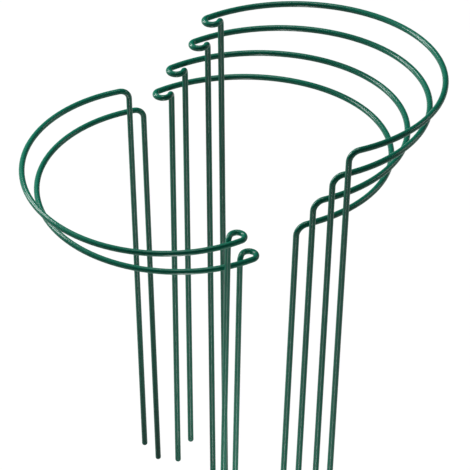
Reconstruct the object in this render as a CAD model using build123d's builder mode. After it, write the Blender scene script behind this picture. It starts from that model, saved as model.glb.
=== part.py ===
from build123d import *
from math import cos, radians, sin, tan
import os

# Six ring stakes that hold plants up: four in a row on the right, two on the left.
# Each stake is one steel wire with a plastic coat. It has a leg, a corner bend, a half
# ring, a hook that turns inward round a small eye, and a second leg. A plastic cap closes
# the foot of each leg. Z = 0 is the soil line, and the origin is where the corner leg of
# the lowest right-hand stake enters the soil.

# Wire
wire_d = 5.0  # over the plastic coat
core_d = 3.4  # steel wire inside it

# Half ring, along the wire's centre line
ring_r = 120.0
ring_sweep = 192.2  # from the end of the corner bend to the start of the hook

# Bends, along the wire's centre line
corner_r = 9.0
eye_r = 6.2
eye_turn = 220.0  # a U-turn, and on towards the ring again
eye_run = 0.4  # straight wire between the eye and the bend into the hook leg
hook_leg_r = 4.5

# Legs, from the ring's level down to the foot
short_leg = 385.0
tall_leg = 485.0
corner_toe_in = 2.5  # degrees that the corner leg leans towards the hook
corner_lean_back = 1.1  # degrees that it leans back from its bend
hook_toe_out = 0.75  # degrees that the hook leg leans away from the corner
hook_lean_forward = 0.75  # degrees that it leans on past its bend

# Foot caps
cap_l = 5.0
cap_bore_l = 3.0  # depth that the steel wire reaches into the cap
cap_round = 2.2  # rounding of the closed end
cap_edge = 0.2  # chamfer at the open end, which shows as a fine seam

# Heights of the rings above the soil
right_low = 285.0
right_step = 28.0
left_low = 189.0
left_step = 34.0

# The left-hand pair leans as one
left_lean_x = 3.7
left_lean_y = 0.55

# Each stake: name, offset of its ring's centre from the first one's in X and Y, height,
# lean about X, lean about Y, turn about its own upright axis, leg
stakes = [
    ("right_1", 0.0, 0.0, right_low, 0.0, 0.0, -65.7, short_leg),
    ("right_2", 12.2, -8.4, right_low + right_step, 0.0, 0.0, -65.3, short_leg),
    ("right_3", 29.2, -15.3, right_low + 2 * right_step, 0.0, 0.0, -66.5, tall_leg),
    ("right_4", 40.7, -24.5, right_low + 3 * right_step, 0.0, 0.0, -66.1, tall_leg),
    ("left_1", -55.7, 99.1, left_low, left_lean_x, left_lean_y, 109.5, short_leg),
    ("left_2", -66.4, 74.4, left_low + left_step, left_lean_x, left_lean_y, 110.0, short_leg),
]


def bend(corner, way_in, way_out, radius):
    """Start, middle and end of the arc that rounds a corner between two unit directions."""
    half = radians(way_in.get_angle(way_out)) / 2
    inward = (way_out - way_in).normalized()
    return [
        corner - way_in * radius * tan(half),
        corner + inward * radius * (1 / cos(half) - 1),
        corner + way_out * radius * tan(half),
    ]


def turned(start, ahead, side, radius, angle):
    """Point and direction after a turn from start, where ahead turns towards side."""
    point = start + ahead * radius * sin(angle) + side * radius * (1 - cos(angle))
    return point, ahead * cos(angle) + side * sin(angle)


def wire_points(place, leg, trim=0):
    """Ends and middles of the wire's runs from foot to foot, short of each foot by the trim."""
    # Corner leg and its bend, which ends along +Y of the stake's own frame
    leg_up = Vector(tan(radians(corner_toe_in)), tan(radians(corner_lean_back)), 1).normalized()
    ahead = Vector(0, 1, 0)
    side = Vector(-1, 0, 0)
    ring_start = Vector(ring_r, 0, 0)
    corner = ring_start - ahead * corner_r * tan(radians(leg_up.get_angle(ahead)) / 2)
    corner_foot = corner - leg_up * (leg / leg_up.Z - trim)

    # Half ring
    ring_middle, _ = turned(ring_start, ahead, side, ring_r, radians(ring_sweep) / 2)
    ring_end, along = turned(ring_start, ahead, side, ring_r, radians(ring_sweep))

    # Eye of the hook, turning on inside the ring
    inward = Vector(-along.Y, along.X, 0)
    eye_middle, _ = turned(ring_end, along, inward, eye_r, radians(eye_turn) / 2)
    eye_end, back = turned(ring_end, along, inward, eye_r, radians(eye_turn))

    # Bend into the hook leg, which comes down close beside the ring
    leg_down = Vector(-tan(radians(hook_toe_out)), tan(radians(hook_lean_forward)), -1).normalized()
    bend_run = hook_leg_r * tan(radians(back.get_angle(leg_down)) / 2)
    hook_corner = eye_end + back * (eye_run + bend_run)
    hook_foot = hook_corner + leg_down * (-leg / leg_down.Z - trim)

    points = [corner_foot]
    points += bend(corner, leg_up, ahead, corner_r)
    points += [ring_middle, ring_end, eye_middle, eye_end]
    points += bend(hook_corner, back, leg_down, hook_leg_r)
    points += [hook_foot]
    return [place.from_local_coords(point) for point in points]


def swept_wire(path, outer_d, inner_d=0):
    """A round wire along the path, or the tube that fits over the wire."""
    with BuildPart() as piece:
        with BuildLine() as line:
            Line(path[0], path[1])
            ThreePointArc(path[1], path[2], path[3])
            ThreePointArc(path[3], path[4], path[5])
            ThreePointArc(path[5], path[6], path[7])
            Line(path[7], path[8])
            ThreePointArc(path[8], path[9], path[10])
            Line(path[10], path[11])
        with BuildSketch(Plane(origin=line.line @ 0, z_dir=line.line % 0)):
            Circle(outer_d / 2)
            if inner_d:
                Circle(inner_d / 2, mode=Mode.SUBTRACT)
        sweep()
    return piece


def foot_cap(foot, above):
    """A round-ended cap over the bare end of the steel wire, flush with the coat."""
    with BuildPart(Plane(origin=foot, z_dir=above - foot)) as piece:
        Cylinder(wire_d / 2, cap_l, align=(Align.CENTER, Align.CENTER, Align.MIN))
        rims = piece.edges().filter_by(GeomType.CIRCLE).sort_by_distance(foot)
        fillet(rims[0], cap_round)
        rims = piece.edges().filter_by(GeomType.CIRCLE).sort_by_distance(foot)
        chamfer(rims[-1], cap_edge)
        with Locations((0, 0, cap_l - cap_bore_l)):
            Cylinder(
                core_d / 2,
                cap_bore_l,
                align=(Align.CENTER, Align.CENTER, Align.MIN),
                mode=Mode.SUBTRACT,
            )
    return piece


# The first stake's ring centre is placed so that its corner leg meets the soil at the origin
_, _, _, first_height, first_lean_x, first_lean_y, first_turn, first_leg = stakes[0]
first_place = Plane(Location((0, 0, first_height), (first_lean_x, first_lean_y, first_turn)))
low, high = wire_points(first_place, first_leg)[:2]
entry = low + (high - low) * (-low.Z / (high.Z - low.Z))

os.makedirs("parts", exist_ok=True)

for name, x, y, height, lean_x, lean_y, turn, leg in stakes:
    place = Plane(Location((x - entry.X, y - entry.Y, height), (lean_x, lean_y, turn)))

    core = swept_wire(wire_points(place, leg, cap_l - cap_bore_l), core_d)
    core.part.label = f"{name}_steel_core"
    export_step(core.part, f"parts/{name}_steel_core.step")

    coat = swept_wire(wire_points(place, leg, cap_l), wire_d, core_d)
    coat.part.label = f"{name}_green_coat"
    export_step(coat.part, f"parts/{name}_green_coat.step")

    feet = wire_points(place, leg)
    corner_cap = foot_cap(feet[0], feet[1])
    corner_cap.part.label = f"{name}_corner_cap"
    export_step(corner_cap.part, f"parts/{name}_corner_cap.step")

    hook_cap = foot_cap(feet[-1], feet[-2])
    hook_cap.part.label = f"{name}_hook_cap"
    export_step(hook_cap.part, f"parts/{name}_hook_cap.step")
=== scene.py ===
from math import cos, pi, radians, sin

import bpy
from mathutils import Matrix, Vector


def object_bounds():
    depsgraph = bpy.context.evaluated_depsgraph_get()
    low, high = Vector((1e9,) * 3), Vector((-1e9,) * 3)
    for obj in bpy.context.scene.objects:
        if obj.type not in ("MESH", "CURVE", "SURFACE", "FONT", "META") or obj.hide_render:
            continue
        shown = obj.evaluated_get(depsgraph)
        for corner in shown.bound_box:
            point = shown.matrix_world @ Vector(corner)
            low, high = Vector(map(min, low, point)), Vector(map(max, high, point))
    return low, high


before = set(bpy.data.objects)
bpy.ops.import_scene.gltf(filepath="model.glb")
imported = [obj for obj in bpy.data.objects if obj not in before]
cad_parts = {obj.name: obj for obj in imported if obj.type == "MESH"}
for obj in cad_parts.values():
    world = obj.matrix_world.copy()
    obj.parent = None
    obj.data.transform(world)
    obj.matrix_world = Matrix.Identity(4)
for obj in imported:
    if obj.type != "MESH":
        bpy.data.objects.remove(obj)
cad_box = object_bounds()

# The photograph's view: a long lens that looks down on the stakes from the front
PHOTO_SIDE = 470  # pixels
LENS_PIXELS = 4000  # focal length in pixels of the photograph
SENSOR = 36.0  # mm
CAMERA_PITCH = 32.82  # degrees below level
CAMERA_DISTANCE = 3.155  # metres, as are the next two
CAMERA_AIM = Vector((-0.0387, -0.0214, 0.285))
CAMERA_REACH = 50.0

# Floor, in metres
FLOOR_SIDE = 40.0
FLOOR_GAP = 0.0005  # between the lowest foot and the floor
FLOOR_Z = cad_box[0][2] - FLOOR_GAP

# Sizes of the marks on the surfaces, in millimetres
PIGMENT_CLOUD = 40.0
SCUFF_PATCH = 12.0
DIE_RIPPLE = 4.0  # really about 1 mm, drawn as coarse as it needs to show
ORANGE_PEEL = 1.2  # really about 0.3 mm, drawn as coarse as it needs to show
FLOW_MARK = 3.0
MOULD_GRAIN = 0.6  # really about 0.1 mm, drawn as coarse as it needs to show
ZINC_CRYSTAL = 1.5
DRAWING_PIT = 0.4

# Depths of the relief, in metres
RIPPLE_DEPTH = 0.0002
GRAIN_DEPTH = 0.00005

# Lamps that hang round the stakes and face their middle: name, azimuth and elevation in degrees,
# distance, width and height in metres, level
STAKES_MIDDLE = Vector((-0.04, 0.05, 0.15))
LAMPS = [
    ("left_key", 294, 32, 1.6, 0.42, 0.9, 0.95),  # the pale streak on the right-hand rings
    ("left_low", 299, 8, 1.6, 0.2, 0.5, 0.12),  # the same on the left-hand rings
    ("back_left", 325, 44, 1.7, 0.5, 0.4, 0.4),
    ("overhead", 0, 80, 1.7, 0.6, 0.6, 0.3),
    ("right_fill", 75, 25, 1.7, 0.7, 0.7, 0.2),
]

# The lamp that lies on the floor and faces up
FLOOR_LAMP = Vector((-0.04, -0.42, FLOOR_Z + 0.002))
UP = Vector((0, 0, 1))


def linear(hex_colour):
    """An sRGB hex colour as the linear values that the shader takes."""
    channels = [int(hex_colour[i:i + 2], 16) / 255 for i in (1, 3, 5)]
    return [c / 12.92 if c <= 0.04045 else ((c + 0.055) / 1.055) ** 2.4 for c in channels] + [1.0]


def add_node(tree, kind, settings=None, links=None):
    """A node of that kind with its settings, and its inputs linked to other nodes' outputs."""
    node = tree.nodes.new(kind)
    for name, value in (settings or {}).items():
        if name in node.inputs:
            node.inputs[name].default_value = value
        else:
            setattr(node, name, value)
    for name, output in (links or {}).items():
        tree.links.new(output, node.inputs[name])
    return node


def new_material(name):
    """A material with no nodes yet, and its node tree."""
    material = bpy.data.materials.new(name)
    material.use_nodes = True
    material.node_tree.nodes.clear()
    return material, material.node_tree


def pattern_scale(millimetres):
    """Scale of a pattern with marks of about that size, as object coordinates are in metres."""
    return 1000 / millimetres


def polyethylene_coat():
    """Polyethylene, extruded hot over the steel wire.

    The eye gets a dark green, smooth and glossy skin. Its pigment is a little uneven, its surface
    has the shallow ripple of the die, and handling has dulled it in small patches. The specular
    level and the coat weight are lower than usual, because the wires mirror the white floor.
    """
    material, tree = new_material("extruded_polyethylene")
    place = add_node(tree, "ShaderNodeTexCoord").outputs["Object"]

    # Pigment: clouds along the wire
    cloud = add_node(tree, "ShaderNodeTexNoise",
                     {"Scale": pattern_scale(PIGMENT_CLOUD), "Detail": 3.0}, {"Vector": place})
    pigment = add_node(tree, "ShaderNodeMix", {"data_type": "RGBA"},
                       {"Factor": cloud.outputs["Fac"]})
    pigment.inputs["A"].default_value = linear("#0D5E4A")
    pigment.inputs["B"].default_value = linear("#156B55")

    # Scuffs: patches where handling has dulled the gloss
    patch = add_node(tree, "ShaderNodeTexNoise",
                     {"Scale": pattern_scale(SCUFF_PATCH), "Detail": 4.0}, {"Vector": place})
    gloss = add_node(tree, "ShaderNodeMapRange",
                     {"From Min": 0.35, "From Max": 0.7, "To Min": 0.11, "To Max": 0.19},
                     {"Value": patch.outputs["Fac"]})

    # Ripple of the die, and the finer unevenness of a skin that cooled in the air
    ripple = add_node(tree, "ShaderNodeTexNoise",
                      {"Scale": pattern_scale(DIE_RIPPLE), "Detail": 1.0}, {"Vector": place})
    ripple_bump = add_node(tree, "ShaderNodeBump", {"Strength": 0.08, "Distance": RIPPLE_DEPTH},
                           {"Height": ripple.outputs["Fac"]})
    orange_peel = add_node(tree, "ShaderNodeTexNoise",
                           {"Scale": pattern_scale(ORANGE_PEEL), "Detail": 2.0}, {"Vector": place})
    skin_bump = add_node(tree, "ShaderNodeBump", {"Strength": 0.1, "Distance": GRAIN_DEPTH},
                         {"Height": orange_peel.outputs["Fac"],
                          "Normal": ripple_bump.outputs["Normal"]})

    skin = add_node(tree, "ShaderNodeBsdfPrincipled",
                    {"Roughness": 0.45, "IOR": 1.5,
                     "Specular IOR Level": 0.05, "Coat Weight": 0.33},
                    {"Base Color": pigment.outputs["Result"],
                     "Coat Roughness": gloss.outputs["Result"],
                     "Normal": skin_bump.outputs["Normal"],
                     "Coat Normal": ripple_bump.outputs["Normal"]})
    add_node(tree, "ShaderNodeOutputMaterial", {}, {"Surface": skin.outputs["BSDF"]})
    return material


def moulded_cap():
    """Polyethylene, injection moulded in a blasted mould.

    The eye gets the coat's green a shade lighter, with a satin surface and a fine even grain.
    """
    material, tree = new_material("moulded_polyethylene")
    place = add_node(tree, "ShaderNodeTexCoord").outputs["Object"]

    # Flow marks: faint clouds where the plastic met in the mould
    flow = add_node(tree, "ShaderNodeTexNoise",
                    {"Scale": pattern_scale(FLOW_MARK), "Detail": 2.0}, {"Vector": place})
    pigment = add_node(tree, "ShaderNodeMix", {"data_type": "RGBA"},
                       {"Factor": flow.outputs["Fac"]})
    pigment.inputs["A"].default_value = linear("#175A49")
    pigment.inputs["B"].default_value = linear("#1F6856")

    # Grain of the blasted mould
    grain = add_node(tree, "ShaderNodeTexNoise",
                     {"Scale": pattern_scale(MOULD_GRAIN), "Detail": 2.0}, {"Vector": place})
    grain_bump = add_node(tree, "ShaderNodeBump", {"Strength": 0.2, "Distance": GRAIN_DEPTH},
                          {"Height": grain.outputs["Fac"]})
    satin = add_node(tree, "ShaderNodeMapRange", {"To Min": 0.42, "To Max": 0.55},
                     {"Value": grain.outputs["Fac"]})

    cap = add_node(tree, "ShaderNodeBsdfPrincipled", {"IOR": 1.5, "Specular IOR Level": 0.25},
                   {"Base Color": pigment.outputs["Result"], "Roughness": satin.outputs["Result"],
                    "Normal": grain_bump.outputs["Normal"]})
    add_node(tree, "ShaderNodeOutputMaterial", {}, {"Surface": cap.outputs["BSDF"]})
    return material


def galvanised_wire():
    """Galvanised mild steel, drawn through a die.

    The eye gets a pale grey metal with small zinc crystals and a dull, slightly pitted shine. The
    coat and the caps cover it all.
    """
    material, tree = new_material("galvanised_steel")
    place = add_node(tree, "ShaderNodeTexCoord").outputs["Object"]

    # Zinc crystals
    crystal = add_node(tree, "ShaderNodeTexVoronoi", {"Scale": pattern_scale(ZINC_CRYSTAL)},
                       {"Vector": place})
    zinc = add_node(tree, "ShaderNodeMix", {"data_type": "RGBA"},
                    {"Factor": crystal.outputs["Color"]})
    zinc.inputs["A"].default_value = linear("#A3A8AB")
    zinc.inputs["B"].default_value = linear("#C2C6C8")
    dulled = add_node(tree, "ShaderNodeMapRange", {"To Min": 0.3, "To Max": 0.5},
                      {"Value": crystal.outputs["Distance"]})

    # Pits that the drawing die left
    pits = add_node(tree, "ShaderNodeTexNoise",
                    {"Scale": pattern_scale(DRAWING_PIT), "Detail": 2.0}, {"Vector": place})
    pit_bump = add_node(tree, "ShaderNodeBump", {"Strength": 0.2, "Distance": GRAIN_DEPTH},
                        {"Height": pits.outputs["Fac"]})

    wire = add_node(tree, "ShaderNodeBsdfPrincipled", {"Metallic": 1.0},
                    {"Base Color": zinc.outputs["Result"], "Roughness": dulled.outputs["Result"],
                     "Normal": pit_bump.outputs["Normal"]})
    add_node(tree, "ShaderNodeOutputMaterial", {}, {"Surface": wire.outputs["BSDF"]})
    return material


def white_board():
    """Matt board, painted.

    The eye gets plain white, to the camera and in reflections, less the stakes' shadow. The
    board's own grey only takes the shadow, and throws little light back up on the wires.
    """
    material, tree = new_material("white_board")
    board = add_node(tree, "ShaderNodeBsdfDiffuse", {"Color": linear("#404040")})
    path = add_node(tree, "ShaderNodeLightPath")
    seen = add_node(tree, "ShaderNodeMath", {"operation": "MAXIMUM"})
    tree.links.new(path.outputs["Is Camera Ray"], seen.inputs[0])
    tree.links.new(path.outputs["Is Glossy Ray"], seen.inputs[1])
    shown = add_node(tree, "ShaderNodeMath", {"operation": "MAXIMUM"})
    tree.links.new(seen.outputs[0], shown.inputs[0])
    tree.links.new(path.outputs["Is Transmission Ray"], shown.inputs[1])
    glow = add_node(tree, "ShaderNodeEmission", {"Color": linear("#FCFCFC")},
                    {"Strength": shown.outputs[0]})
    both = add_node(tree, "ShaderNodeAddShader")
    tree.links.new(board.outputs["BSDF"], both.inputs[0])
    tree.links.new(glow.outputs["Emission"], both.inputs[1])
    add_node(tree, "ShaderNodeOutputMaterial", {}, {"Surface": both.outputs["Shader"]})
    return material


def put_floor():
    """The board that the stakes hang just over."""
    bpy.ops.mesh.primitive_plane_add(size=FLOOR_SIDE, location=(0, 0, FLOOR_Z))
    floor = bpy.context.object
    floor.name = "floor"
    floor.data.materials.append(white_board())


def put_camera():
    """The camera at the photograph's viewing angle."""
    ahead = Vector((0, cos(radians(CAMERA_PITCH)), -sin(radians(CAMERA_PITCH))))
    data = bpy.data.cameras.new("camera")
    data.sensor_width = SENSOR
    data.lens = LENS_PIXELS * SENSOR / PHOTO_SIDE
    data.clip_end = CAMERA_REACH
    camera = bpy.data.objects.new("camera", data)
    camera.location = CAMERA_AIM - ahead * CAMERA_DISTANCE
    camera.rotation_euler = ahead.to_track_quat("-Z", "Y").to_euler()
    bpy.context.collection.objects.link(camera)
    bpy.context.scene.camera = camera


def put_panel(name, location, aim, width, height, level):
    """A soft lamp. A white card at the middle of the stakes, facing it, renders at that level."""
    data = bpy.data.lights.new(name, "AREA")
    data.shape = "RECTANGLE"
    data.size = width
    data.size_y = height
    data.energy = level * pi ** 2 * (location - STAKES_MIDDLE).length_squared
    lamp = bpy.data.objects.new(name, data)
    lamp.location = location
    lamp.rotation_euler = (aim - location).to_track_quat("-Z", "Y").to_euler()
    lamp.visible_camera = False
    bpy.context.collection.objects.link(lamp)


def around(azimuth, elevation, distance):
    """A place round the stakes: azimuth 0 is behind them and 90 is on their right."""
    turn = radians(azimuth)
    rise = radians(elevation)
    away = Vector((sin(turn) * cos(rise), cos(turn) * cos(rise), sin(rise)))
    return STAKES_MIDDLE + distance * away


def put_studio():
    """Dark room, camera, floor and lamps."""
    scene = bpy.context.scene
    scene.view_settings.view_transform = "Standard"
    scene.world = bpy.data.worlds.new("studio")
    scene.world.use_nodes = True
    scene.world.node_tree.nodes["Background"].inputs["Strength"].default_value = 0.0
    put_camera()
    put_floor()

    for name, azimuth, elevation, distance, width, height, level in LAMPS:
        put_panel(name, around(azimuth, elevation, distance), STAKES_MIDDLE, width, height, level)

    # The legs mirror the floor in front, so a lamp that lies there draws the line down each leg
    put_panel("front_floor", FLOOR_LAMP, FLOOR_LAMP + UP, width=0.1, height=0.95, level=0.95)


def finish_pieces():
    """Gives each piece its finish. Its name is its stake's, such as right_1, and then its own."""
    cap = moulded_cap()
    finishes = {
        "steel_core": galvanised_wire(),
        "green_coat": polyethylene_coat(),
        "corner_cap": cap,
        "hook_cap": cap,
    }
    for name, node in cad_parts.items():
        piece = name.split("_", 2)[2]
        for slot in node.material_slots:
            slot.material = finishes[piece]


put_studio()
finish_pieces()

bpy.context.view_layer.update()
